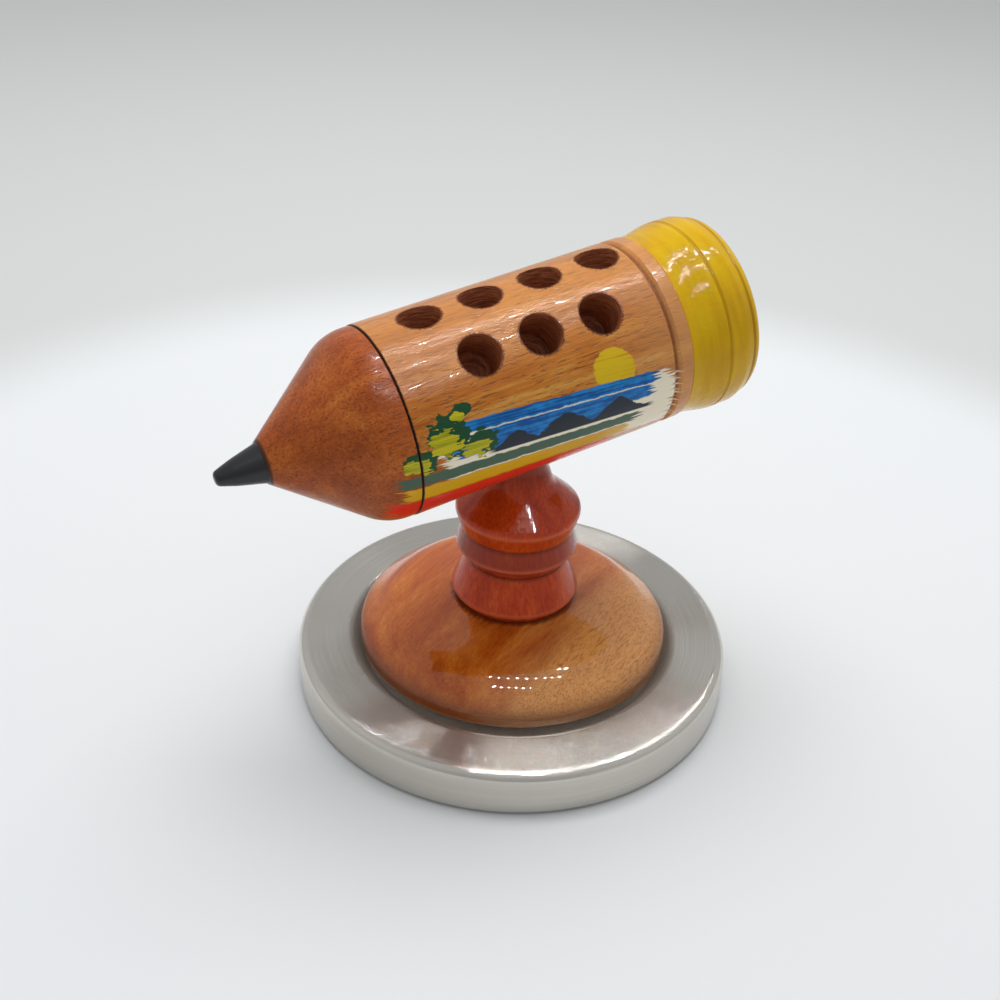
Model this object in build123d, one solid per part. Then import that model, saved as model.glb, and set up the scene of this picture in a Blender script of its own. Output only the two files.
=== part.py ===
from build123d import *
import math
import os

# Desk pen holder: a giant turned wooden pencil on a post, which turns on a weighted steel base.
# Millimetres, +Z up. The origin is on the table under the post. The pencil lies in the XZ plane,
# with its point towards -X, and stations along it are counted from the seam behind the nose.

# Fits
GLUE_GAP = 0.1          # room round tenons, dowel, insert and screws
RUNNING_GAP = 0.05      # radial room of the pivot and of the push-fit nose
TURNING_GAP = 0.1       # height left between faces that turn on each other
SKIRT_GAP = 0.2         # radial room of plate and ballast inside the steel skirt
SEAM_GAP = 0.1          # closed gap between the nose and the barrel

# Wooden foot
FOOT_RADIUS = 48.0
FOOT_BEVEL_RUN = 4.5    # underside bevel, in plan
FOOT_BEVEL_RISE = 4.6
FOOT_EDGE_HEIGHT = 4.0
FOOT_EDGE_FILLET = 3.0
SHOULDER_RUN = 9.5      # from the edge in to the crown
SHOULDER_RISE = 7.1
SHOULDER_FILLET = 16.0
CROWN_RISE = 3.9        # from the shoulder up to the seat of the post
POST_SEAT_MARGIN = 0.5

# Steel base
LEDGE_WIDTH = 16.5      # steel ring left round the recess
SHELL_HEIGHT = 13.6
SHELL_WALL = 1.2
RIM_FILLET = 3.5
RECESS_CLEARANCE = 3.0  # from the foot's seat to the edge of the recess floor
RECESS_RUN = 4.5        # recess wall, in plan
RECESS_DEPTH = 5.0
RECESS_FILLET = 2.5
PAD_THICKNESS = 1.2
PAD_INSET = 2.0         # the pad stands back from the rim by this much
PLATE_THICKNESS = 2.0
SCREW_COUNT = 3
SCREW_CIRCLE_RADIUS = 38.0
SCREW_RADIUS = 2.0
SCREW_HEAD_RADIUS = 3.8
SCREW_BITE = 3.5        # length in the ballast
SCREW_SLOT_WIDTH = 1.0
SCREW_SLOT_DEPTH = 0.9

# Pivot
BOLT_RADIUS = 2.5
BOLT_HEAD_RADIUS = 4.75
BOLT_HEAD_HEIGHT = 3.0
BOLT_SOCKET_RADIUS = 2.3
BOLT_SOCKET_DEPTH = 2.0
BOLT_HEAD_FILLET = 0.6
WASHER_RADIUS = 7.5
WASHER_THICKNESS = 1.0
INSERT_RADIUS = 4.5
INSERT_LENGTH = 7.5
PIVOT_ROOM = 1.5        # clear space round the washer in ballast and plate
SLIP_THICKNESS = 1.0
SLIP_WIDTH = 16.0
SLIP_MARGIN = 3.5       # the ring stands back from the edge of the foot's seat

# Post, from the foot upwards
POST_FOOT_RADIUS = 18.0
SKIRT_RADIUS = 19.7
SKIRT_RISE = 2.5
SKIRT_FILLET = 1.8
FLARE_RISE = 11.3
LOWER_GROOVE_RADIUS = 15.3
LOWER_GROOVE_FILLET = 0.8
RING_UNDER_RISE = 4.3
RING_RADIUS = 18.4
RING_FILLET = 0.5
RING_TOP_RISE = 6.2
UPPER_GROOVE_RADIUS = 17.0
UPPER_GROOVE_FILLET = 0.4
BEAD_UNDER_RISE = 5.6
BEAD_RADIUS = 18.9
BEAD_EDGE_FILLET = 0.6
BEAD_BAND = 1.9
BEAD_TOP_FILLET = 2.5
BEAD_TOP_RISE = 7.6
OGEE_RADIUS = 10.4
OGEE_FILLET = 7.0
NECK_RISE = 6.1
NECK_RADIUS = 8.3
NECK_LENGTH = 3.0       # straight neck, up to the barrel's underside on the post's axis
LOWER_TENON_RADIUS = 8.0
FOOT_WEB = 3.0          # wood between the insert and the tenon
UPPER_TENON_RADIUS = 6.0
UPPER_TENON_LENGTH = 14.0

# Barrel
TILT = 8.0              # degrees, point down
POST_STATION = 45.1
BARREL_RADIUS = 27.25
BARREL_LENGTH = 84.1
SEAM_CHAMFER = 0.4
REAR_FILLET = 0.6
REAR_GROOVE_BACK = 5.4  # from the rear end forward to the turned groove
REAR_GROOVE_WIDTH = 2.6
REAR_GROOVE_DEPTH = 1.1
REAR_GROOVE_FILLET = 0.5
SPIGOT_RADIUS = 17.0
SPIGOT_LENGTH = 9.0
SPIGOT_CHAMFER = 0.8

# Pen holes
HOLE_RADIUS = 6.0
DRILL_POINT_ANGLE = 118.0
HOLE_PITCH = 18.2
HOLE_FIRST = 15.5       # station of the first hole of the top row
HOLE_REAR_MARGIN = 13.5
HOLE_DEPTH_STEP = 0.6   # each hole is shallower than the one behind it, which levels the pens a little
SIDE_HOLE_OFFSET = 8.6  # a side row starts this far behind the top row
ROW_ANGLE = 40.0        # degrees between the top row and each side row
SIDE_HOLE_WEB = 0.6     # least wood between a side hole and a top hole
TOP_HOLE_WEB = 2.0      # wood between the points of the top holes and the eraser's dowel

# Eraser
ERASER_STEP = 0.3       # starts this much under the barrel's radius
ERASER_SWELL = 1.2      # and swells this much over it
ERASER_COLLAR = 3.4
ERASER_RISE = 7.4
ERASER_CREST = 6.5
ERASER_FALL = 5.0
ERASER_DROP = 1.6
ERASER_END = 2.4
ERASER_DOME = 1.2       # the end face is slightly domed
ERASER_FILLET = 2.6
ERASER_SWELL_FILLET = 14.0
CREST_LINE = 1.0        # turned line, this far behind the start of the crest
FALL_LINE = 3.0         # second line, this far behind the start of the fall
LINE_RADIUS = 0.7       # the lines are cut with a round tool
LINE_DEPTH = 0.35
DOWEL_RADIUS = 5.0
DOWEL_DEPTH = 12.0      # in the barrel, and as deep in the eraser
DOWEL_CHAMFER = 0.8

# Nose and point
NOSE_STEP = 0.2         # under the barrel's radius
NOSE_LENGTH = 34.4
NOSE_SHOULDER = 7.3
NOSE_SHOULDER_FILLET = 16.0
NOSE_END_RADIUS = 5.9
NOSE_END_FILLET = 0.4
SPIGOT_END_GAP = 0.5
BOX_RADIUS = 10.0       # compartment behind the spigot
NOSE_WEB = 6.4          # wood between the compartment and the point's tenon
LEAD_STEP = 0.3         # the point starts under the nose's end radius
LEAD_LENGTH = 12.9
LEAD_BEND = 7.8
LEAD_BEND_RADIUS = 3.6
LEAD_BEND_FILLET = 14.0
LEAD_TIP_RADIUS = 1.9
LEAD_TIP_FILLET = 1.5
LEAD_TENON_RADIUS = 3.5
LEAD_TENON_LENGTH = 6.5

# Heights and radii that follow
FOOT_SEAT_RADIUS = FOOT_RADIUS - FOOT_BEVEL_RUN
RECESS_FLOOR_RADIUS = FOOT_SEAT_RADIUS + RECESS_CLEARANCE
RECESS_RADIUS = RECESS_FLOOR_RADIUS + RECESS_RUN
BASE_RADIUS = RECESS_RADIUS + LEDGE_WIDTH
BASE_TOP = PAD_THICKNESS + SHELL_HEIGHT
RECESS_FLOOR = BASE_TOP - RECESS_DEPTH
FLOOR_UNDERSIDE = RECESS_FLOOR - SHELL_WALL
PLATE_TOP = PAD_THICKNESS + PLATE_THICKNESS
SKIRT_INNER_RADIUS = BASE_RADIUS - SHELL_WALL - SKIRT_GAP
PIVOT_HOLE_RADIUS = WASHER_RADIUS + PIVOT_ROOM
FOOT_BOTTOM = RECESS_FLOOR + SLIP_THICKNESS + TURNING_GAP
FOOT_EDGE_LOW = FOOT_BOTTOM + FOOT_BEVEL_RISE
FOOT_EDGE_TOP = FOOT_EDGE_LOW + FOOT_EDGE_HEIGHT
FOOT_SHOULDER = FOOT_EDGE_TOP + SHOULDER_RISE
FOOT_TOP = FOOT_SHOULDER + CROWN_RISE
INSERT_TOP = FOOT_BOTTOM + INSERT_LENGTH
LOWER_TENON_END = INSERT_TOP + FOOT_WEB
SKIRT_HEIGHT = FOOT_TOP + SKIRT_RISE
LOWER_GROOVE_HEIGHT = SKIRT_HEIGHT + FLARE_RISE
RING_HEIGHT = LOWER_GROOVE_HEIGHT + RING_UNDER_RISE
UPPER_GROOVE_HEIGHT = RING_HEIGHT + RING_TOP_RISE
BEAD_LOW = UPPER_GROOVE_HEIGHT + BEAD_UNDER_RISE
BEAD_TOP = BEAD_LOW + BEAD_BAND
OGEE_HEIGHT = BEAD_TOP + BEAD_TOP_RISE
NECK_HEIGHT = OGEE_HEIGHT + NECK_RISE
BARREL_UNDERSIDE = NECK_HEIGHT + NECK_LENGTH
AXIS_HEIGHT = BARREL_UNDERSIDE + BARREL_RADIUS / math.cos(math.radians(TILT))
UPPER_TENON_TOP = BARREL_UNDERSIDE + UPPER_TENON_LENGTH
ERASER_RADIUS = BARREL_RADIUS + ERASER_SWELL
ERASER_LENGTH = ERASER_COLLAR + ERASER_RISE + ERASER_CREST + ERASER_FALL + ERASER_END
DRILL_POINT = HOLE_RADIUS / math.tan(math.radians(DRILL_POINT_ANGLE / 2))
TOP_HOLE_FLOOR = DOWEL_RADIUS + GLUE_GAP + TOP_HOLE_WEB + DRILL_POINT
HOLE_STAGGER = min(SIDE_HOLE_OFFSET, HOLE_PITCH - SIDE_HOLE_OFFSET)
SIDE_FLOOR_HALF_WIDTH = HOLE_RADIUS * (1 + math.cos(math.radians(ROW_ANGLE))) / 2
SIDE_HOLE_SPACING = HOLE_RADIUS + SIDE_FLOOR_HALF_WIDTH + SIDE_HOLE_WEB
SIDE_HOLE_REACH = math.sqrt(SIDE_HOLE_SPACING ** 2 - HOLE_STAGGER ** 2)
SIDE_HOLE_FLOOR = SIDE_HOLE_REACH / math.sin(math.radians(ROW_ANGLE))
TOP_HOLE_COUNT = 1 + int((BARREL_LENGTH - HOLE_FIRST - HOLE_REAR_MARGIN) / HOLE_PITCH)
BOX_FLOOR = NOSE_LENGTH - LEAD_TENON_LENGTH - NOSE_WEB

PENCIL = Location((0, 0, AXIS_HEIGHT), (0, 90 - TILT, 0))
UPWARD = (Align.CENTER, Align.CENTER, Align.MIN)


def outline(corners):
    """Closed face in the XZ plane. A corner is (radius, height) or (radius, height, fillet)."""
    points = [Vector(corner[0], 0, corner[1]) for corner in corners]
    fillets = [corner[2] if len(corner) == 3 else 0 for corner in corners]
    starts, ends, edges = [], [], []
    for index, (here, fillet) in enumerate(zip(points, fillets)):
        if not fillet:
            starts.append(here)
            ends.append(here)
            continue
        back = (points[index - 1] - here).normalized()
        ahead = (points[(index + 1) % len(points)] - here).normalized()
        half_angle = math.radians(back.get_angle(ahead) / 2)
        reach = fillet / math.tan(half_angle)
        middle = here + (back + ahead).normalized() * (fillet / math.sin(half_angle) - fillet)
        starts.append(here + back * reach)
        ends.append(here + ahead * reach)
        edges.append(ThreePointArc(starts[-1], middle, ends[-1]))
    for index, end in enumerate(ends):
        start = starts[(index + 1) % len(points)]
        edges.append(Line(end, start))
    return make_face(edges)


def turned(*corners):
    """Solid of revolution about Z from an outline."""
    return revolve(outline(corners), Axis.Z)


def disc(radius, low, high):
    """Plain round solid on the Z axis."""
    return turned((0, low), (radius, low), (radius, high), (0, high))


def ring(inner, outer, low, high):
    """Flat ring on the Z axis."""
    return turned((inner, low), (outer, low), (outer, high), (inner, high))


def along(station):
    """Height in the pencil's own frame, whose Z runs from the point to the eraser."""
    return station - POST_STATION


def on_pencil(solid):
    """Lays a piece from the pencil's own frame onto the post."""
    return PENCIL * solid


def base_shell():
    """Spun steel cover with a rounded rim and a shallow recess for the foot."""
    slope = math.atan2(RECESS_DEPTH, RECESS_RUN)
    shift = SHELL_WALL * math.tan(slope / 2)
    hole = BOLT_RADIUS + RUNNING_GAP
    inner = BASE_RADIUS - SHELL_WALL
    return turned(
        (hole, RECESS_FLOOR),
        (RECESS_FLOOR_RADIUS, RECESS_FLOOR, RECESS_FILLET),
        (RECESS_RADIUS, BASE_TOP, RECESS_FILLET),
        (BASE_RADIUS, BASE_TOP, RIM_FILLET),
        (BASE_RADIUS, PAD_THICKNESS),
        (inner, PAD_THICKNESS),
        (inner, BASE_TOP - SHELL_WALL, RIM_FILLET - SHELL_WALL),
        (RECESS_RADIUS + shift, BASE_TOP - SHELL_WALL, RECESS_FILLET - SHELL_WALL),
        (RECESS_FLOOR_RADIUS + shift, FLOOR_UNDERSIDE, RECESS_FILLET + SHELL_WALL),
        (hole, FLOOR_UNDERSIDE),
    )


def plate_screw(room):
    """Countersunk screw, head down and flush with the plate's underside, or the hole that it needs."""
    head_height = SCREW_HEAD_RADIUS - SCREW_RADIUS
    return turned(
        (0, PAD_THICKNESS),
        (SCREW_HEAD_RADIUS + room, PAD_THICKNESS),
        (SCREW_RADIUS + room, PAD_THICKNESS + head_height),
        (SCREW_RADIUS + room, PLATE_TOP + SCREW_BITE + room),
        (0, PLATE_TOP + SCREW_BITE + room),
    )


def screw_places():
    """Centres of the plate screws on their circle."""
    return PolarLocations(SCREW_CIRCLE_RADIUS, SCREW_COUNT)


def plate_screws():
    """The plate screws, with straight slots in their heads."""
    slot = Location((0, 0, PAD_THICKNESS)) * Box(
        2 * SCREW_HEAD_RADIUS, SCREW_SLOT_WIDTH, SCREW_SLOT_DEPTH, align=UPWARD
    )
    screw = plate_screw(0) - slot
    return Compound([place * screw for place in screw_places()])


def drilled_for_screws(solid):
    """Cuts the plate screws' holes."""
    for place in screw_places():
        solid = solid - place * plate_screw(GLUE_GAP)
    return solid


def ballast_disc():
    """Iron weight between the plate and the recess floor."""
    return drilled_for_screws(ring(PIVOT_HOLE_RADIUS, SKIRT_INNER_RADIUS, PLATE_TOP, FLOOR_UNDERSIDE))


def bottom_plate():
    """Plate that closes the base, open in the middle for the bolt."""
    return drilled_for_screws(ring(PIVOT_HOLE_RADIUS, SKIRT_INNER_RADIUS, PAD_THICKNESS, PLATE_TOP))


def base_pad():
    """Non-slip pad that the base stands on."""
    return disc(BASE_RADIUS - PAD_INSET, 0, PAD_THICKNESS)


def slip_ring():
    """Ring on the recess floor that the foot turns on."""
    outer = FOOT_SEAT_RADIUS - SLIP_MARGIN
    return ring(outer - SLIP_WIDTH, outer, RECESS_FLOOR, RECESS_FLOOR + SLIP_THICKNESS)


def pivot_washer():
    """Washer that hangs the bolt's head on the recess floor."""
    top = FLOOR_UNDERSIDE - TURNING_GAP
    return ring(BOLT_RADIUS + GLUE_GAP, WASHER_RADIUS, top - WASHER_THICKNESS, top)


def pivot_bolt():
    """Centre bolt with a hexagon socket in its head."""
    head_top = FLOOR_UNDERSIDE - TURNING_GAP - WASHER_THICKNESS
    head_low = head_top - BOLT_HEAD_HEIGHT
    bolt = turned(
        (0, head_low),
        (BOLT_HEAD_RADIUS, head_low, BOLT_HEAD_FILLET),
        (BOLT_HEAD_RADIUS, head_top),
        (BOLT_RADIUS, head_top),
        (BOLT_RADIUS, INSERT_TOP),
        (0, INSERT_TOP),
    )
    hexagon = Plane.XY.offset(head_low) * RegularPolygon(BOLT_SOCKET_RADIUS, 6)
    return bolt - extrude(hexagon, BOLT_SOCKET_DEPTH)


def foot_insert():
    """Threaded brass insert in the foot, which the bolt is screwed into."""
    return ring(BOLT_RADIUS + RUNNING_GAP, INSERT_RADIUS, FOOT_BOTTOM, INSERT_TOP)


def wooden_foot():
    """Domed foot with a flat seat for the post, bevelled below to clear the recess."""
    seat_radius = POST_FOOT_RADIUS + POST_SEAT_MARGIN
    foot = turned(
        (0, FOOT_BOTTOM),
        (FOOT_SEAT_RADIUS, FOOT_BOTTOM),
        (FOOT_RADIUS, FOOT_EDGE_LOW),
        (FOOT_RADIUS, FOOT_EDGE_TOP, FOOT_EDGE_FILLET),
        (FOOT_RADIUS - SHOULDER_RUN, FOOT_SHOULDER, SHOULDER_FILLET),
        (seat_radius, FOOT_TOP),
        (0, FOOT_TOP),
    )
    tenon_hole = disc(LOWER_TENON_RADIUS + GLUE_GAP, LOWER_TENON_END - GLUE_GAP, FOOT_TOP)
    insert_hole = disc(INSERT_RADIUS + GLUE_GAP, FOOT_BOTTOM, INSERT_TOP + GLUE_GAP)
    return foot - tenon_hole - insert_hole


def post():
    """Turned column with a tenon at each end, coped to the round of the barrel."""
    column = turned(
        (0, LOWER_TENON_END),
        (LOWER_TENON_RADIUS, LOWER_TENON_END),
        (LOWER_TENON_RADIUS, FOOT_TOP),
        (POST_FOOT_RADIUS, FOOT_TOP),
        (SKIRT_RADIUS, SKIRT_HEIGHT, SKIRT_FILLET),
        (LOWER_GROOVE_RADIUS, LOWER_GROOVE_HEIGHT, LOWER_GROOVE_FILLET),
        (RING_RADIUS, RING_HEIGHT, RING_FILLET),
        (UPPER_GROOVE_RADIUS, UPPER_GROOVE_HEIGHT, UPPER_GROOVE_FILLET),
        (BEAD_RADIUS, BEAD_LOW, BEAD_EDGE_FILLET),
        (BEAD_RADIUS, BEAD_TOP, BEAD_TOP_FILLET),
        (OGEE_RADIUS, OGEE_HEIGHT, OGEE_FILLET),
        (NECK_RADIUS, NECK_HEIGHT, OGEE_FILLET),
        (NECK_RADIUS, AXIS_HEIGHT),
        (0, AXIS_HEIGHT),
    )
    cope = on_pencil(disc(BARREL_RADIUS + GLUE_GAP, along(0), along(BARREL_LENGTH)))
    tenon = disc(UPPER_TENON_RADIUS, NECK_HEIGHT, UPPER_TENON_TOP)
    return column - cope + tenon


def pen_hole(station, angle, floor):
    """Cutter for one drilled pen hole, square to the pencil, at an angle from the top.
    Its wall ends at the floor radius, and the drill's point goes on below."""
    turn = math.radians(angle)
    way_out = Vector(-math.cos(turn), -math.sin(turn), 0)
    mouth = BARREL_RADIUS + HOLE_RADIUS
    drill = turned((0, floor - DRILL_POINT), (HOLE_RADIUS, floor), (HOLE_RADIUS, mouth), (0, mouth))
    return Plane(origin=(0, 0, along(station)), z_dir=way_out) * drill


def pen_row(count, first, angle, rear_floor):
    """Cutters of one row. Its rear hole is the deepest."""
    cutters = []
    for index in range(count):
        floor = rear_floor + (count - 1 - index) * HOLE_DEPTH_STEP
        cutters.append(pen_hole(first + index * HOLE_PITCH, angle, floor))
    return cutters


def pen_holes():
    """Cutters of the top row, and of a staggered side row each way."""
    cutters = pen_row(TOP_HOLE_COUNT, HOLE_FIRST, 0, TOP_HOLE_FLOOR)
    for angle in (-ROW_ANGLE, ROW_ANGLE):
        cutters += pen_row(TOP_HOLE_COUNT - 1, HOLE_FIRST + SIDE_HOLE_OFFSET, angle, SIDE_HOLE_FLOOR)
    return cutters


def barrel():
    """Body of the pencil: front spigot, pen holes, rear groove, and the post's mortise."""
    groove = BARREL_LENGTH - REAR_GROOVE_BACK
    half_groove = REAR_GROOVE_WIDTH / 2
    body = turned(
        (0, along(-SPIGOT_LENGTH)),
        (SPIGOT_RADIUS - SPIGOT_CHAMFER, along(-SPIGOT_LENGTH)),
        (SPIGOT_RADIUS, along(SPIGOT_CHAMFER - SPIGOT_LENGTH)),
        (SPIGOT_RADIUS, along(0)),
        (BARREL_RADIUS - SEAM_CHAMFER, along(0)),
        (BARREL_RADIUS, along(SEAM_CHAMFER)),
        (BARREL_RADIUS, along(groove - half_groove), REAR_GROOVE_FILLET),
        (BARREL_RADIUS - REAR_GROOVE_DEPTH, along(groove), REAR_GROOVE_FILLET),
        (BARREL_RADIUS, along(groove + half_groove), REAR_GROOVE_FILLET),
        (BARREL_RADIUS, along(BARREL_LENGTH), REAR_FILLET),
        (0, along(BARREL_LENGTH)),
    )
    for cutter in pen_holes():
        body = body - cutter
    dowel_low = along(BARREL_LENGTH - DOWEL_DEPTH - GLUE_GAP)
    body = body - disc(DOWEL_RADIUS + GLUE_GAP, dowel_low, along(BARREL_LENGTH))
    mortise = disc(UPPER_TENON_RADIUS + GLUE_GAP, NECK_HEIGHT, UPPER_TENON_TOP + GLUE_GAP)
    return on_pencil(body) - mortise


def eraser_dowel():
    """Dowel shared by the barrel and the eraser."""
    low = along(BARREL_LENGTH - DOWEL_DEPTH)
    high = along(BARREL_LENGTH + DOWEL_DEPTH)
    neck = DOWEL_RADIUS - DOWEL_CHAMFER
    return on_pencil(turned(
        (0, low),
        (neck, low),
        (DOWEL_RADIUS, low + DOWEL_CHAMFER),
        (DOWEL_RADIUS, high - DOWEL_CHAMFER),
        (neck, high),
        (0, high),
    ))


def turned_line(radius, height):
    """Cutter for a shallow round line in a turned surface."""
    return Location((0, 0, height)) * Torus(radius + LINE_RADIUS - LINE_DEPTH, LINE_RADIUS)


def eraser():
    """Swelling rear end with two turned lines and a slightly domed end."""
    start = along(BARREL_LENGTH)
    collar = start + ERASER_COLLAR
    crest = collar + ERASER_RISE
    fall = crest + ERASER_CREST
    end = fall + ERASER_FALL
    tail = start + ERASER_LENGTH
    collar_radius = BARREL_RADIUS - ERASER_STEP
    end_radius = ERASER_RADIUS - ERASER_DROP
    body = turned(
        (0, start),
        (collar_radius, start),
        (collar_radius, collar, ERASER_SWELL_FILLET),
        (ERASER_RADIUS, crest, ERASER_SWELL_FILLET),
        (ERASER_RADIUS, fall, ERASER_FILLET),
        (end_radius, end, ERASER_FILLET),
        (end_radius - ERASER_END, tail - ERASER_DOME, ERASER_FILLET / 2),
        (0, tail),
    )
    fall_radius = ERASER_RADIUS - ERASER_DROP * FALL_LINE / ERASER_FALL
    crest_line = turned_line(ERASER_RADIUS, crest + CREST_LINE)
    fall_line = turned_line(fall_radius, fall + FALL_LINE)
    dowel_hole = disc(DOWEL_RADIUS + GLUE_GAP, start, start + DOWEL_DEPTH + GLUE_GAP)
    return on_pencil(body - crest_line - fall_line - dowel_hole)


def nose_cap():
    """Push-fit cone with a small compartment behind the spigot and a socket for the point."""
    radius = BARREL_RADIUS - NOSE_STEP
    rear = along(-SEAM_GAP)
    front = along(-NOSE_LENGTH)
    body = turned(
        (0, front),
        (NOSE_END_RADIUS, front, NOSE_END_FILLET),
        (radius, along(-NOSE_SHOULDER), NOSE_SHOULDER_FILLET),
        (radius, rear - SEAM_CHAMFER),
        (radius - SEAM_CHAMFER, rear),
        (0, rear),
    )
    spigot_hole = disc(SPIGOT_RADIUS + RUNNING_GAP, along(-SPIGOT_LENGTH - SPIGOT_END_GAP), rear)
    compartment = disc(BOX_RADIUS, along(-BOX_FLOOR), rear)
    socket = disc(LEAD_TENON_RADIUS + GLUE_GAP, front, front + LEAD_TENON_LENGTH + GLUE_GAP)
    return on_pencil(body - spigot_hole - compartment - socket)


def lead_tip():
    """Rounded black point with a tenon."""
    seat = along(-NOSE_LENGTH)
    return on_pencil(turned(
        (0, seat - LEAD_LENGTH),
        (LEAD_TIP_RADIUS, seat - LEAD_LENGTH, LEAD_TIP_FILLET),
        (LEAD_BEND_RADIUS, seat - LEAD_BEND, LEAD_BEND_FILLET),
        (NOSE_END_RADIUS - LEAD_STEP, seat),
        (LEAD_TENON_RADIUS, seat),
        (LEAD_TENON_RADIUS, seat + LEAD_TENON_LENGTH),
        (0, seat + LEAD_TENON_LENGTH),
    ))


PIECES = (
    base_shell, ballast_disc, bottom_plate, plate_screws, base_pad, slip_ring,
    pivot_bolt, pivot_washer, foot_insert, wooden_foot, post,
    barrel, eraser_dowel, eraser, nose_cap, lead_tip,
)

os.makedirs("parts", exist_ok=True)
for piece in PIECES:
    export_step(piece(), f"parts/{piece.__name__}.step")
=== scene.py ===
import bpy
import math
from mathutils import Matrix, Vector

# Looks of the pencil-shaped pen holder. Objects are in metres. Finishes are worked out in millimetres.

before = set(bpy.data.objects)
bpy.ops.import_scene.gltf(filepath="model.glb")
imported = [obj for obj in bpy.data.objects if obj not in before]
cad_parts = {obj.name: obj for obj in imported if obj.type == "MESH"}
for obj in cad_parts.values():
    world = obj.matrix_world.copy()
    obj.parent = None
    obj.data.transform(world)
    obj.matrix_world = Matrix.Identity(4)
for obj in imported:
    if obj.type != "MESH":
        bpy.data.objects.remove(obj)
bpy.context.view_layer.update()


def tone(red, green, blue):
    """Linear colour of an 8-bit screen colour."""
    def linear(level):
        share = level / 255
        return share / 12.92 if share <= 0.04045 else ((share + 0.055) / 1.055) ** 2.4
    return (linear(red), linear(green), linear(blue), 1.0)


MM = 0.001
METRE = 1000.0

# The pencil, as the solids have it
PENCIL_TILT = math.radians(8.0)
AXIS_HEIGHT = 106.518
POST_STATION = 45.1
BARREL_RADIUS = 27.25
BARREL_LENGTH = 84.1
GROOVE_STATION = 78.7
NOSE_LENGTH = 34.4
HOLE_RADIUS = 6.0
HOLE_PITCH = 18.2
HOLE_FIRST = 15.5
SIDE_HOLE_FIRST = 24.1
TOP_HOLES = 4
HOLE_ROW_ANGLE = math.radians(40.0)
ERASER_LINES = (11.8, 20.3)

# Painted shade in the seam between nose and barrel
SEAM_SHADE = tone(34, 18, 12)

# Heights on the post: its ridges get painted highlights and its grooves painted shade. The barrel shades it
# from one height to the other, and that shade is painted too.
POST_RIDGES = (33.0, 48.6, 60.4)
POST_GROOVES = (44.3, 54.8)
POST_SHADE = (68.0, 78.0)

# The foot: heights over which the painted light on its bevel and the painted shade on its lower edge fade,
# radii over which the glue does
FOOT_GRAIN = math.radians(30.0)
FOOT_BEVEL_LIGHT = (14.0, 16.5)
FOOT_EDGE_SHADE = (18.0, 23.0)
FOOT_GLUE = (18.8, 20.4)

# The steel: radii over which the recess ends and the rim begins, and the brushing in radians per millimetre
STEEL_RECESS = (50.0, 52.5)
STEEL_RIM = (64.5, 66.5)
SCRATCH_PITCH = 125.0
SCRATCH_DEPTH = 0.009

# Paints
PAINT_WHITE = tone(254, 244, 220)
PAINT_WHITE_SHADE = tone(238, 225, 198)
PAINT_BLUE = tone(10, 80, 150)
PAINT_BLUE_LIGHT = tone(32, 138, 212)
PAINT_ORANGE = tone(206, 118, 26)
PAINT_YELLOW = tone(222, 186, 24)
PAINT_SLATE = tone(38, 46, 56)
PAINT_LEAF = tone(28, 76, 46)
PAINT_LIME = tone(206, 190, 24)
PAINT_LIME_SHADE = tone(142, 150, 22)
STRIPE_GREEN = tone(72, 98, 78)
STRIPE_YELLOW = tone(220, 166, 22)
STRIPE_RED = tone(230, 44, 26)

# The painted band. Its rows run a little askew to the pencil, and fall counts down the near side.
PAINT_SLANT = 0.0856
PAINT_MIDDLE = 36.0
GROUND_LINE = 47.3
SUN = (59.0, 33.0, 6.4)
# The hills: start and end of their foot and of their full height, pitch of the tops, rise per length
HILL_FOOT = (20, 70)
HILL_HEIGHT = (25, 66)
HILL_PITCH = 8.5
HILL_SLOPE = 0.62
# start, end, top, bottom
WHITE_STROKES = ((6, 75, 36.5, 52.5), (60, 78, 38.5, 58))
SKY_STROKES = ((8, 72, 36.2, 39.5), (20, 70, 39.8, 43.8), (10, 58, 43.2, 46.5))
STRIPES = (
    (-7, 66, 48.5, 52.0, STRIPE_GREEN),
    (-6, 64, 52.6, 57.6, STRIPE_YELLOW),
    (-8, 60, 58.0, 66.5, STRIPE_RED),
)
# middle, height, half length, half height
TREETOPS = (
    (9.0, 39.0, 6.5, 6.0),
    (17.5, 43.0, 5.0, 4.0),
    (0.5, 44.0, 5.0, 4.0),
    (14.0, 33.0, 2.6, 2.0),
)
# How far the lime touches on the treetops are shifted back along the pencil and down
LIME_BACK = 1.4
LIME_DOWN = 1.6

# The photograph's camera
CAMERA_PLACE = Vector((-170.75, -294.85, 281.1)) * MM
CAMERA_HEADING = math.radians(-29.15)
CAMERA_PITCH = math.radians(32.69)
CAMERA_ROLL = math.radians(2.38)
CAMERA_LENS = 48.56

# The floor, in metres, and the radii in millimetres between which its painted shade darkens it
FLOOR_SIZE = 8.0
FLOOR_NEAR = 250.0
FLOOR_FAR = 330.0

# The lights, in metres and watts. A row of lamps has a distance beyond the object, a height and a share
# of the lamp power.
LAMP_COUNT = 9
LAMP_SIZE = 0.007
LAMP_SPACING = 0.032
LAMP_SHIFT = 0.06      # middle of the rows, to the camera's right
LAMP_TARGET = Vector((0, 0, 0.05))
LAMP_POWER = 0.18
LAMP_ROWS = ((0.1, 0.55, 0.6), (-0.05, 0.5, 0.4), (-0.2, 0.48, 0.4))
PANEL_AWAY = 0.3
PANEL_HEIGHT = 0.95
PANEL_WIDTH = 1.0
PANEL_DEPTH = 0.6
PANEL_TARGET = Vector((0, 0, 0.03))
PANEL_POWER = 7.0

# Brightness of the room, and what is added overhead, behind the object and on both sides
ROOM_LIGHT = 0.42
ROOM_LIGHT_ABOVE = 0.17
ROOM_LIGHT_BEHIND = 0.08
ROOM_LIGHT_ASIDE = 0.15


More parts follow.
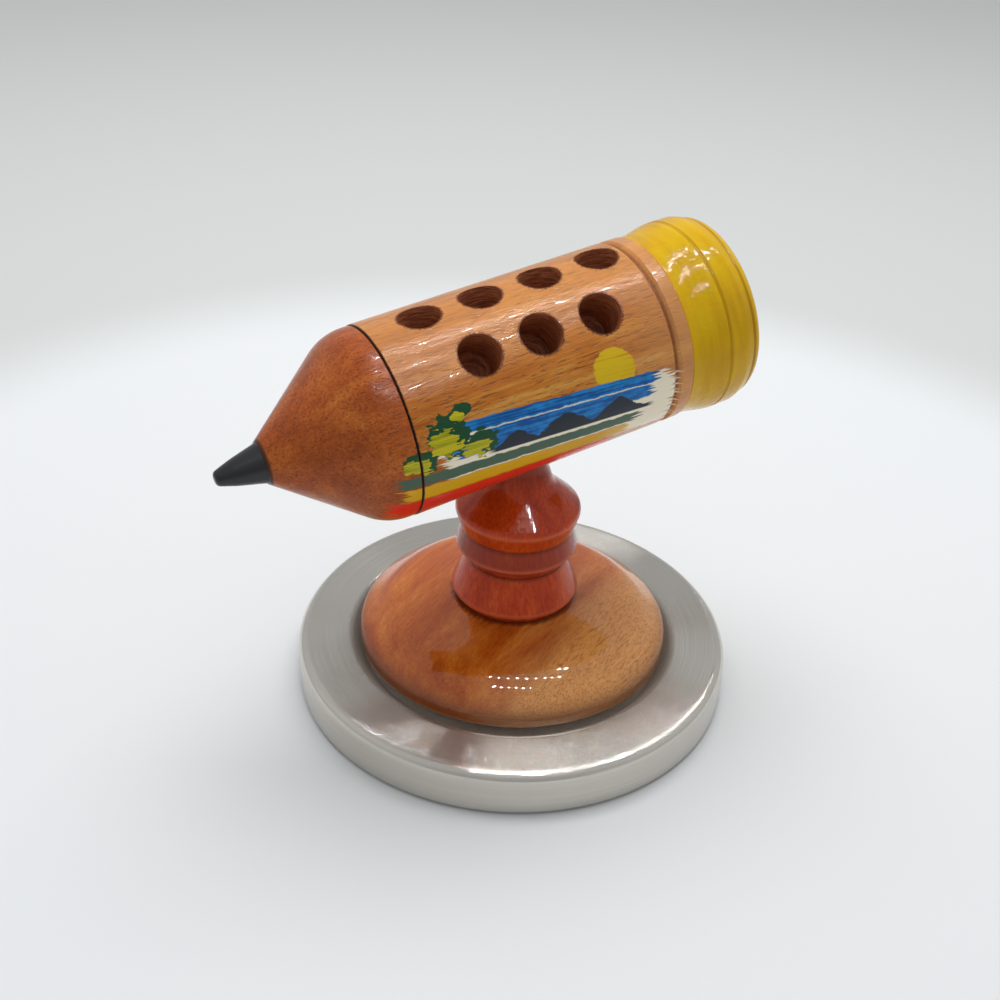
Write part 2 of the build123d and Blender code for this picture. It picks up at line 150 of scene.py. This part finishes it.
class Field:
    """A value that varies over a surface: one socket, with the arithmetic that the finishes use."""

    def __init__(self, finish, socket):
        self.finish = finish
        self.socket = socket

    def __add__(self, other):
        return compute("ADD", self, other)

    def __sub__(self, other):
        return compute("SUBTRACT", self, other)

    def __rsub__(self, other):
        return compute("SUBTRACT", other, self)

    def __mul__(self, other):
        return compute("MULTIPLY", self, other)

    def __truediv__(self, other):
        return compute("DIVIDE", self, other)

    def __neg__(self):
        return compute("MULTIPLY", self, -1.0)

    __radd__ = __add__
    __rmul__ = __mul__


def compute(operation, *values):
    """One Math node on fields and numbers."""
    finish = next(value.finish for value in values if isinstance(value, Field))
    return finish.node("ShaderNodeMath", {"operation": operation}, dict(enumerate(values)))


def least(*values):
    """The smallest of several fields."""
    result = values[0]
    for value in values[1:]:
        result = compute("MINIMUM", result, value)
    return result


def most(*values):
    """The largest of several fields."""
    result = values[0]
    for value in values[1:]:
        result = compute("MAXIMUM", result, value)
    return result


def length(*values):
    """Distance from two sides."""
    return compute("SQRT", sum(value * value for value in values))


def rise(value, low, high):
    """0 below low, 1 above high, smooth between."""
    sockets = {"Value": value, "From Min": low, "From Max": high}
    return value.finish.node("ShaderNodeMapRange", {"interpolation_type": "SMOOTHSTEP"}, sockets)


def within(value, low, high, soft):
    """1 between low and high, with soft edges."""
    return rise(value, low - soft, low + soft) * (1 - rise(value, high - soft, high + soft))


class Graph:
    """The shader nodes of a material or of the world."""

    def __init__(self, owner):
        owner.use_nodes = True
        self.tree = owner.node_tree
        self.tree.nodes.clear()

    def node(self, kind, settings, sockets, output=0):
        """One node: its settings first, then the values or links of its sockets."""
        node = self.tree.nodes.new(kind)
        for name, value in settings.items():
            setattr(node, name, value)
        for name, value in sockets.items():
            if isinstance(value, Field):
                self.tree.links.new(value.socket, node.inputs[name])
            else:
                node.inputs[name].default_value = value
        return Field(self, node.outputs[output])

    def split(self, vector):
        """The three numbers of a vector."""
        parts = self.node("ShaderNodeSeparateXYZ", {}, {0: vector})
        return [Field(self, output) for output in parts.socket.node.outputs]

    def close(self, kind, shader):
        """Joins the last shader to the output."""
        output = self.tree.nodes.new(kind)
        self.tree.links.new(shader.socket, output.inputs["Surface"])


class Finish(Graph):
    """A material under construction."""

    def __init__(self, name):
        self.material = bpy.data.materials.new(name)
        super().__init__(self.material)
        metres = self.node("ShaderNodeTexCoord", {}, {}, "Object")
        place = self.node("ShaderNodeVectorMath", {"operation": "SCALE"}, {0: metres, "Scale": METRE})
        self.x, self.y, self.z = self.split(place)

    def noise(self, x, y, z, detail=2.0, roughness=0.5, distortion=0.0):
        """Noise from 0 to 1, one feature per unit."""
        vector = self.node("ShaderNodeCombineXYZ", {}, {0: x, 1: y, 2: z})
        sockets = {"Vector": vector, "Scale": 1.0, "Detail": detail,
                   "Roughness": roughness, "Distortion": distortion}
        return self.node("ShaderNodeTexNoise", {}, sockets)

    def grit(self, scale, detail=2.0, roughness=0.5):
        """Even noise, with scale in features per millimetre."""
        return self.noise(self.x * scale, self.y * scale, self.z * scale, detail, roughness)

    def ramp(self, value, *stops):
        """Colour by value."""
        field = self.node("ShaderNodeValToRGB", {}, {0: value})
        elements = field.socket.node.color_ramp.elements
        while len(elements) < len(stops):
            elements.new(1.0)
        for element, (position, colour) in zip(elements, stops):
            element.position = position
            element.color = colour
        return field

    def mix(self, low, high, share):
        """From one colour to another."""
        return self.node("ShaderNodeMix", {"data_type": "RGBA"}, {0: share, 6: low, 7: high}, 2)

    def surface(self, colour, roughness, height=0.5, depth=0.1, **constants):
        """Closes the finish. height is in units of depth, which is in millimetres."""
        bump = {"Strength": 1.0, "Distance": depth * MM, "Height": height}
        relief = self.node("ShaderNodeBump", {}, bump)
        sockets = {"Base Color": colour, "Roughness": roughness, "Normal": relief}
        for name, value in constants.items():
            sockets[name.replace("_", " ")] = value
        self.close("ShaderNodeOutputMaterial", self.node("ShaderNodeBsdfPrincipled", {}, sockets))
        return self.material

    def varnished(self, colour, roughness, height, depth, coat, gloss):
        """Closes the finish with varnish. The coat is its smooth share, and the rest follows the relief."""
        layers = {"Specular_IOR_Level": gloss - coat / 4, "Coat_Weight": coat, "Coat_Roughness": 0.03}
        return self.surface(colour, roughness, height, depth, **layers)

    def turning(self):
        """Radius and turn in radians about the post's axis."""
        return length(self.x, self.y), compute("ARCTAN2", self.y, self.x)

    def pencil(self):
        """Station, lift, depth and arc in the pencil's own frame. The arc runs down the near side."""
        lean, level = math.sin(PENCIL_TILT), math.cos(PENCIL_TILT)
        height = self.z - AXIS_HEIGHT
        station = self.x * level + height * lean + POST_STATION
        lift = height * level - self.x * lean
        arc = compute("ARCTAN2", -self.y, lift) * BARREL_RADIUS
        return station, lift, length(lift, self.y), arc


def dress(node, material):
    """Gives a solid its finish."""
    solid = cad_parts[node]
    solid.data.materials.clear()
    solid.data.materials.append(material)


def plain_finish(name, colour, roughness, grit, **constants):
    """A plain finish with a fine grit in tone, gloss and relief."""
    finish = Finish(name)
    speck = finish.grit(grit, 3.0)
    cloud = finish.grit(grit / 12)
    dark = tuple(level * 0.8 for level in colour[:3]) + (1.0,)
    shade = finish.mix(dark, colour, speck * 0.5 + cloud * 0.5)
    return finish.surface(shade, roughness + (cloud - 0.5) * 0.15, speck, 0.03, **constants)


def grain(finish, along, across, through):
    """Broad streaks, fibres and dark dashes of a wood, given a frame along its grain."""
    streaks = finish.noise(along * 0.012, across * 0.1, through * 0.1, 3.0, 0.55, 0.8)
    fibres = finish.noise(along * 0.09, across * 1.1, through * 1.1, 3.0, 0.65)
    dashes = finish.noise(along * 0.3, across * 2.2, through * 2.2, 1.0)
    return streaks, fibres, rise(dashes, 0.56, 0.68)


def hole_distance(finish, station, lift):
    """Distance from the axis of the nearest pen hole."""
    def along_row(first, count):
        index = compute("ROUND", (station - first) / HOLE_PITCH)
        return station - first - most(least(index, count - 1), 0.0) * HOLE_PITCH
    side = compute("ABSOLUTE", finish.y)
    lateral = lift * math.sin(HOLE_ROW_ANGLE) - side * math.cos(HOLE_ROW_ANGLE)
    below = (1 - rise(lift, 0.0, 1.0)) * BARREL_RADIUS
    to_top = length(along_row(HOLE_FIRST, TOP_HOLES), finish.y) + below
    to_side = length(along_row(SIDE_HOLE_FIRST, TOP_HOLES - 1), lateral) + below
    return least(to_top, to_side)


def near_skin(depth):
    """Outer edge of the pencil's end faces, where painted shade darkens the seam."""
    return rise(depth, BARREL_RADIUS - 3.0, BARREL_RADIUS - 1.5)


class Painting:
    """The painted band on the near side: stripes under a brushed sky, with hills, treetops and a sun."""

    def __init__(self, finish, wood, station, arc):
        self.finish = finish
        self.station = station
        self.fall = arc - PAINT_SLANT * (station - PAINT_MIDDLE)
        self.bristle = finish.noise(station * 0.05, self.fall * 1.2, 0.0, 3.0, 0.6) - 0.5
        self.ragged = finish.noise(station * 0.3, self.fall * 0.45, 7.0) - 0.5
        self.colour = wood
        self.cover = self.bristle * 0.0

    def lay(self, mask, colour):
        """Puts one coat over what is there."""
        self.colour = self.finish.mix(self.colour, colour, mask)
        self.cover = most(self.cover, mask)

    def stroke(self, start, end, top, bottom):
        """A brush stroke along the pencil, with bristly ends."""
        ends = within(self.station + self.bristle * 16, start, end, 0.8)
        return ends * within(self.fall + self.ragged * 1.3, top, bottom, 0.2)

    def dab(self, middle, height, half_length, half_height, fray):
        """A round touch of the brush with a frayed edge."""
        across = (self.station - middle) / half_length
        down = (self.fall - height) / half_height
        edge = length(across, down) + (self.ragged * 2 + self.bristle) * fray
        return 1 - rise(edge, 0.92, 1.0)

    def hills(self):
        """A dark ridge with sharp tops on the ground line."""
        peaks = compute("PINGPONG", self.station, HILL_PITCH) * HILL_SLOPE
        peaks = peaks + self.ragged * 3.0 + self.bristle * 1.5
        crest = GROUND_LINE - 1.2 - peaks * within(self.station, *HILL_HEIGHT, 5.0)
        above_ground = 1 - rise(self.fall, GROUND_LINE, GROUND_LINE + 0.4)
        below_crest = rise(self.fall - crest, -0.15, 0.15)
        return within(self.station, *HILL_FOOT, 1.5) * below_crest * above_ground

    def paint(self):
        """Lays all the coats, from the ground up."""
        white = self.finish.mix(PAINT_WHITE, PAINT_WHITE_SHADE, self.bristle + 0.5)
        sparse = rise(self.bristle + self.ragged * 0.5, -0.15, 0.2)
        blue = self.finish.mix(PAINT_BLUE, PAINT_BLUE_LIGHT, sparse)
        lime = self.finish.mix(PAINT_LIME, PAINT_LIME_SHADE, rise(self.bristle, -0.1, 0.15))
        glow = self.finish.mix(PAINT_YELLOW, PAINT_ORANGE, rise(self.bristle, 0.02, 0.2))
        for place in WHITE_STROKES:
            self.lay(self.stroke(*place), white)
        middle, height, radius = SUN
        self.lay(self.dab(middle, height, radius, radius, 0.12), glow)
        for place in SKY_STROKES:
            self.lay(self.stroke(*place), blue)
        self.lay(self.hills(), PAINT_SLATE)
        for *place, colour in STRIPES:
            self.lay(self.stroke(*place), colour)
        for treetop in TREETOPS:
            self.lay(self.dab(*treetop, 0.7), PAINT_LEAF)
        for middle, height, half_length, half_height in TREETOPS:
            touch = (middle - LIME_BACK, height + LIME_DOWN, half_length * 0.7, half_height * 0.6)
            self.lay(self.dab(*touch, 1.2), lime)


def barrel_finish():
    """Golden brown wood, paler to the rear, with a painted sheen on top, raw holes, a groove and the
    painted band.
    """
    finish = Finish("barrel_wood")
    station, lift, depth, arc = finish.pencil()
    streaks, fibres, dashes = grain(finish, station, finish.y, lift)
    wood = finish.ramp(
        streaks * 0.6 + fibres * 0.4,
        (0.3, tone(138, 62, 16)),
        (0.45, tone(178, 97, 26)),
        (0.57, tone(200, 122, 40)),
        (0.7, tone(218, 158, 74)),
    )
    wood = finish.mix(wood, tone(104, 50, 24), dashes * 0.55)
    # Paler towards the rear; the term in lift is a painted sheen on top
    pale = most(
        rise(station, GROOVE_STATION - 4.0, GROOVE_STATION + 2.0) * 0.55,
        rise(station + streaks * 12, GROOVE_STATION - 22.0, GROOVE_STATION + 6.0) * 0.4,
        rise(lift + streaks * 8, 16.0, 30.0) * 0.35,
    )
    wood = finish.mix(wood, tone(224, 166, 108), pale)
    stain = within(station, GROOVE_STATION - 0.6, GROOVE_STATION + 0.4, 0.4)
    wood = finish.mix(wood, tone(104, 46, 28), stain * 0.7)
    band = Painting(finish, wood, station, arc)
    band.paint()
    hole = hole_distance(finish, station, lift)
    fuzz = finish.grit(1.6) - 0.5
    fringe = 1 - rise(hole + fuzz * 1.6, HOLE_RADIUS + 0.1, HOLE_RADIUS + 0.7)
    inside = 1 - rise(hole, HOLE_RADIUS + 0.03, HOLE_RADIUS + 0.15)
    marks = finish.noise(depth * 2.2, station * 0.2, finish.y * 0.2, 3.0, 0.7)
    raw = finish.mix(tone(120, 60, 36), tone(200, 124, 78), rise(marks, 0.3, 0.75))
    colour = finish.mix(band.colour, tone(74, 36, 20), fringe * 0.85)
    colour = finish.mix(colour, raw, inside)
    end = 1 - rise(station + fuzz * 0.4, 0.1, 0.45)
    colour = finish.mix(colour, raw, end)
    # Painted shade on the outer edge of the end face, in the seam
    colour = finish.mix(colour, SEAM_SHADE, end * near_skin(depth))
    roughness = 0.1 + fibres * 0.12 + inside * 0.5 + end * 0.4
    bare = (fibres - dashes * 0.6) * (1 - band.cover * 0.7)
    height = bare + band.cover * (0.8 + band.bristle * 0.6) + marks * inside * 3.0
    return finish.varnished(colour, roughness, height, 0.1, 0.08, 0.2)


def nose_finish():
    """Red-brown wood with stippled end grain. The painted band runs over the seam onto it."""
    finish = Finish("nose_wood")
    station, lift, depth, arc = finish.pencil()
    streaks, fibres, dashes = grain(finish, station, finish.y, lift)
    stipple = finish.grit(1.3, 2.0, 0.7)
    wood = finish.ramp(
        streaks * 0.5 + fibres * 0.25 + stipple * 0.25,
        (0.3, tone(120, 49, 12)),
        (0.48, tone(166, 79, 25)),
        (0.6, tone(192, 104, 38)),
        (0.72, tone(212, 132, 58)),
    )
    wood = finish.mix(wood, tone(88, 38, 20), dashes * 0.5)
    band = Painting(finish, wood, station, arc)
    band.paint()
    end = rise(station + (stipple - 0.5) * 0.4, -0.5, -0.15)
    raw = finish.mix(tone(150, 84, 46), tone(200, 130, 80), fibres)
    colour = finish.mix(band.colour, raw, end)
    # Painted shade on the outer edge of the end face, in the seam
    colour = finish.mix(colour, SEAM_SHADE, end * near_skin(depth))
    socket = within(station, -NOSE_LENGTH - 0.5, -NOSE_LENGTH + 0.9, 0.4)
    colour = finish.mix(colour, tone(70, 40, 26), socket)
    bare = (stipple * 0.6 + fibres * 0.4 - dashes * 0.6) * (1 - band.cover * 0.7)
    height = bare + band.cover * (0.8 + band.bristle * 0.6)
    return finish.varnished(colour, 0.14 + stipple * 0.16 + end * 0.4, height, 0.1, 0.08, 0.2)


def eraser_finish():
    """Lumpy yellow gloss over turned wood, with painted shade in the two turned lines."""
    finish = Finish("eraser_yellow")
    station, lift, *_ = finish.pencil()
    brush = finish.noise(station * 0.45, finish.y * 0.05, lift * 0.05, 3.0)
    lumps = finish.grit(0.62, 1.0, 0.5)
    cloud = finish.grit(0.05)
    colour = finish.ramp(
        brush * 0.45 + cloud * 0.55,
        (0.32, tone(194, 144, 0)), (0.5, tone(212, 164, 0)), (0.68, tone(222, 180, 0)),
    )
    places = [BARREL_LENGTH + line for line in ERASER_LINES]
    lines = most(*(within(station, place - 0.3, place + 0.3, 0.3) for place in places))
    # Painted shade in the two turned lines
    colour = finish.mix(colour, tone(140, 98, 6), lines * 0.5)
    return finish.varnished(colour, 0.05 + cloud * 0.04, lumps + brush * 0.15, 0.15, 0.1, 0.2)


def post_finish():
    """Red stain, dark on the ring, with painted highlights on the turned edges and painted shade in the
    grooves and under the barrel.
    """
    finish = Finish("post_red_stain")
    streaks, fibres, dashes = grain(finish, finish.z, finish.x, finish.y)
    wood = finish.ramp(
        streaks * 0.6 + fibres * 0.4,
        (0.3, tone(152, 40, 9)), (0.5, tone(190, 64, 18)), (0.7, tone(212, 94, 34)),
    )
    wood = finish.mix(wood, tone(74, 18, 8), dashes * 0.18)
    ring = within(finish.z, *POST_GROOVES, 0.8)
    wood = finish.mix(wood, tone(104, 26, 8), ring * 0.5)
    # Painted highlights on the turned edges
    edges = most(*(within(finish.z, ridge - 0.5, ridge + 0.7, 0.6) for ridge in POST_RIDGES))
    wood = finish.mix(wood, tone(206, 98, 56), edges * 0.55)
    # Painted shade in the grooves and under the barrel
    grooves = most(*(within(finish.z, groove - 0.6, groove + 0.6, 0.7) for groove in POST_GROOVES))
    shade = most(grooves * 0.6, rise(finish.z, *POST_SHADE) * 0.55)
    colour = finish.mix(wood, tone(58, 16, 9), shade)
    lumps = finish.grit(0.45, 1.0, 0.5)
    return finish.varnished(colour, 0.14 + fibres * 0.12, lumps + fibres * 0.2, 0.2, 0.4, 0.18)


def foot_finish():
    """Orange-stained wood with its grain across the foot and a pale porous side, with painted shade on its
    lower edge and painted light on its bevel.
    """
    finish = Finish("foot_orange_wood")
    radius, _ = finish.turning()
    along = finish.x * math.cos(FOOT_GRAIN) + finish.y * math.sin(FOOT_GRAIN)
    across = finish.x * math.sin(FOOT_GRAIN) - finish.y * math.cos(FOOT_GRAIN)
    streaks, fibres, dashes = grain(finish, along, across, finish.z * 1.6)
    wood = finish.ramp(
        streaks * 0.65 + fibres * 0.35,
        (0.3, tone(146, 56, 10)),
        (0.46, tone(180, 86, 20)),
        (0.6, tone(198, 110, 36)),
        (0.74, tone(212, 140, 64)),
    )
    pale = rise(across + streaks * 16, 20.0, 36.0)
    pale_wood = finish.mix(tone(208, 130, 62), tone(240, 180, 106), fibres)
    wood = finish.mix(wood, pale_wood, pale * 0.9)
    pores = finish.noise(along * 0.45, across * 3.2, finish.z * 3.2)
    pores = rise(pores, 0.5, 0.64) * pale
    colour = finish.mix(wood, tone(120, 62, 28), dashes * 0.3 * (1 - pale) + pores * 0.5)
    # Painted shade on the lower edge
    edge = 1 - rise(finish.z, *FOOT_EDGE_SHADE)
    colour = finish.mix(colour, tone(92, 46, 24), edge * 0.7)
    # Painted light on the bevel, bounced from the steel below
    bevel = 1 - rise(finish.z, *FOOT_BEVEL_LIGHT)
    colour = finish.mix(colour, tone(216, 164, 116), bevel * 0.7)
    glue = 1 - rise(radius + (fibres - 0.5) * 2, *FOOT_GLUE)
    colour = finish.mix(colour, tone(84, 32, 18), glue * 0.8)
    return finish.varnished(colour, 0.17 + fibres * 0.12, fibres - pores * 0.6, 0.06, 0.95, 0.26)


def steel_finish():
    """Stainless steel, brushed in circles, duller in the recess and smooth on the rim."""
    finish = Finish("spun_steel")
    radius, turn = finish.turning()
    lines = finish.noise(radius * 5.0, turn * 0.8, finish.z * 5.0, 2.0)
    scratches = compute("SINE", (radius - finish.z) * SCRATCH_PITCH)
    cloud = finish.grit(0.03)
    colour = finish.ramp(lines, (0.3, tone(200, 195, 186)), (0.7, tone(212, 207, 199)))
    recess = 1 - rise(radius, *STEEL_RECESS)
    rim = rise(radius, *STEEL_RIM)
    brushed = {"Metallic": 1.0, "Anisotropic": 1.0, "Anisotropic_Rotation": 0.25}
    roughness = 0.15 + lines * 0.03 + cloud * 0.03 + recess * 0.25 - rim * 0.06
    return finish.surface(colour, roughness, scratches * (1 - rim), SCRATCH_DEPTH, **brushed)


dress("barrel", barrel_finish())
dress("nose_cap", nose_finish())
dress("eraser", eraser_finish())
dress("post", post_finish())
dress("wooden_foot", foot_finish())
dress("base_shell", steel_finish())
dress("lead_tip", plain_finish("point_black", tone(26, 26, 28), 0.3, 1.2))
dress("base_pad", plain_finish("pad_rubber", tone(34, 34, 35), 0.75, 2.0))
dress("bottom_plate", plain_finish("plate_plastic", tone(40, 40, 42), 0.55, 1.5))
dress("ballast_disc", plain_finish("ballast_iron", tone(70, 70, 72), 0.6, 0.8, Metallic=0.8))
dress("slip_ring", plain_finish("slip_nylon", tone(222, 220, 212), 0.45, 1.5))
dress("eraser_dowel", plain_finish("dowel_beech", tone(206, 170, 124), 0.6, 0.8))
hardware = plain_finish("zinc_steel", tone(190, 190, 196), 0.32, 2.0, Metallic=1.0)
for name in ("plate_screws", "pivot_bolt", "pivot_washer"):
    dress(name, hardware)
dress("foot_insert", plain_finish("insert_brass", tone(214, 178, 104), 0.3, 2.0, Metallic=1.0))


def floor():
    """Plain pale floor with painted shade that darkens it away from the object."""
    finish = Finish("floor_paper")
    radius, _ = finish.turning()
    # Painted shade, darker away from the object
    far = rise(radius, FLOOR_NEAR, FLOOR_FAR)
    colour = finish.mix(tone(225, 227, 228), tone(203, 205, 203), far)
    mesh = bpy.data.meshes.new("floor")
    half = FLOOR_SIZE / 2
    corners = [(-half, -half, 0), (half, -half, 0), (half, half, 0), (-half, half, 0)]
    mesh.from_pydata(corners, [], [(0, 1, 2, 3)])
    mesh.materials.append(finish.surface(colour, 0.9))
    sheet = bpy.data.objects.new("floor", mesh)
    bpy.context.collection.objects.link(sheet)


def panel(name, place, target, width, height, power):
    """Rectangular light that faces a point."""
    light = bpy.data.lights.new(name, "AREA")
    light.shape = "RECTANGLE"
    light.size = width
    light.size_y = height
    light.energy = power
    lamp = bpy.data.objects.new(name, light)
    lamp.location = place
    lamp.rotation_euler = (target - place).to_track_quat("-Z", "Y").to_euler()
    bpy.context.collection.objects.link(lamp)
    return lamp


def lights():
    """Rows of small lamps overhead that the gloss mirrors, and a soft panel for the light they throw."""
    right = Vector((math.cos(CAMERA_HEADING), math.sin(CAMERA_HEADING), 0))
    back = Vector((-math.sin(CAMERA_HEADING), math.cos(CAMERA_HEADING), 0))
    up = Vector((0, 0, 1))
    for row, (away, height, share) in enumerate(LAMP_ROWS):
        power = LAMP_POWER * share
        for index in range(LAMP_COUNT):
            aside = LAMP_SHIFT + (index - LAMP_COUNT // 2) * LAMP_SPACING
            place = right * aside + back * away + up * height
            lamp = panel(f"lamp_{row}_{index}", place, LAMP_TARGET, LAMP_SIZE, LAMP_SIZE, power)
            lamp.visible_diffuse = False
    place = back * PANEL_AWAY + up * PANEL_HEIGHT
    soft = panel("soft", place, PANEL_TARGET, PANEL_WIDTH, PANEL_DEPTH, PANEL_POWER)
    soft.visible_glossy = False


def sky():
    """Soft white room, brighter overhead, behind the object and on both sides."""
    world = bpy.data.worlds.new("room")
    graph = Graph(world)
    x, y, z = graph.split(graph.node("ShaderNodeTexCoord", {}, {}, "Generated"))
    away = y * math.cos(CAMERA_HEADING) - x * math.sin(CAMERA_HEADING)
    aside = compute("ABSOLUTE", x * math.cos(CAMERA_HEADING) + y * math.sin(CAMERA_HEADING))
    strength = ROOM_LIGHT + ROOM_LIGHT_ABOVE * rise(z, -0.1, 0.9)
    strength = strength + ROOM_LIGHT_BEHIND * rise(away, -0.3, 0.9)
    strength = strength + ROOM_LIGHT_ASIDE * rise(aside, 0.3, 1.0)
    background = {"Color": tone(246, 248, 250), "Strength": strength}
    graph.close("ShaderNodeOutputWorld", graph.node("ShaderNodeBackground", {}, background))
    bpy.context.scene.world = world


def camera():
    """The photograph's camera."""
    eye = bpy.data.cameras.new("camera")
    eye.lens = CAMERA_LENS
    eye.clip_start = 0.01
    viewer = bpy.data.objects.new("camera", eye)
    turn = Matrix.Rotation(CAMERA_HEADING, 4, "Z")
    tilt = Matrix.Rotation(math.pi / 2 - CAMERA_PITCH, 4, "X")
    roll = Matrix.Rotation(CAMERA_ROLL, 4, "Z")
    viewer.matrix_world = Matrix.Translation(CAMERA_PLACE) @ turn @ tilt @ roll
    bpy.context.collection.objects.link(viewer)
    bpy.context.scene.camera = viewer


floor()
lights()
sky()
bpy.context.scene.view_settings.view_transform = "Standard"
camera()
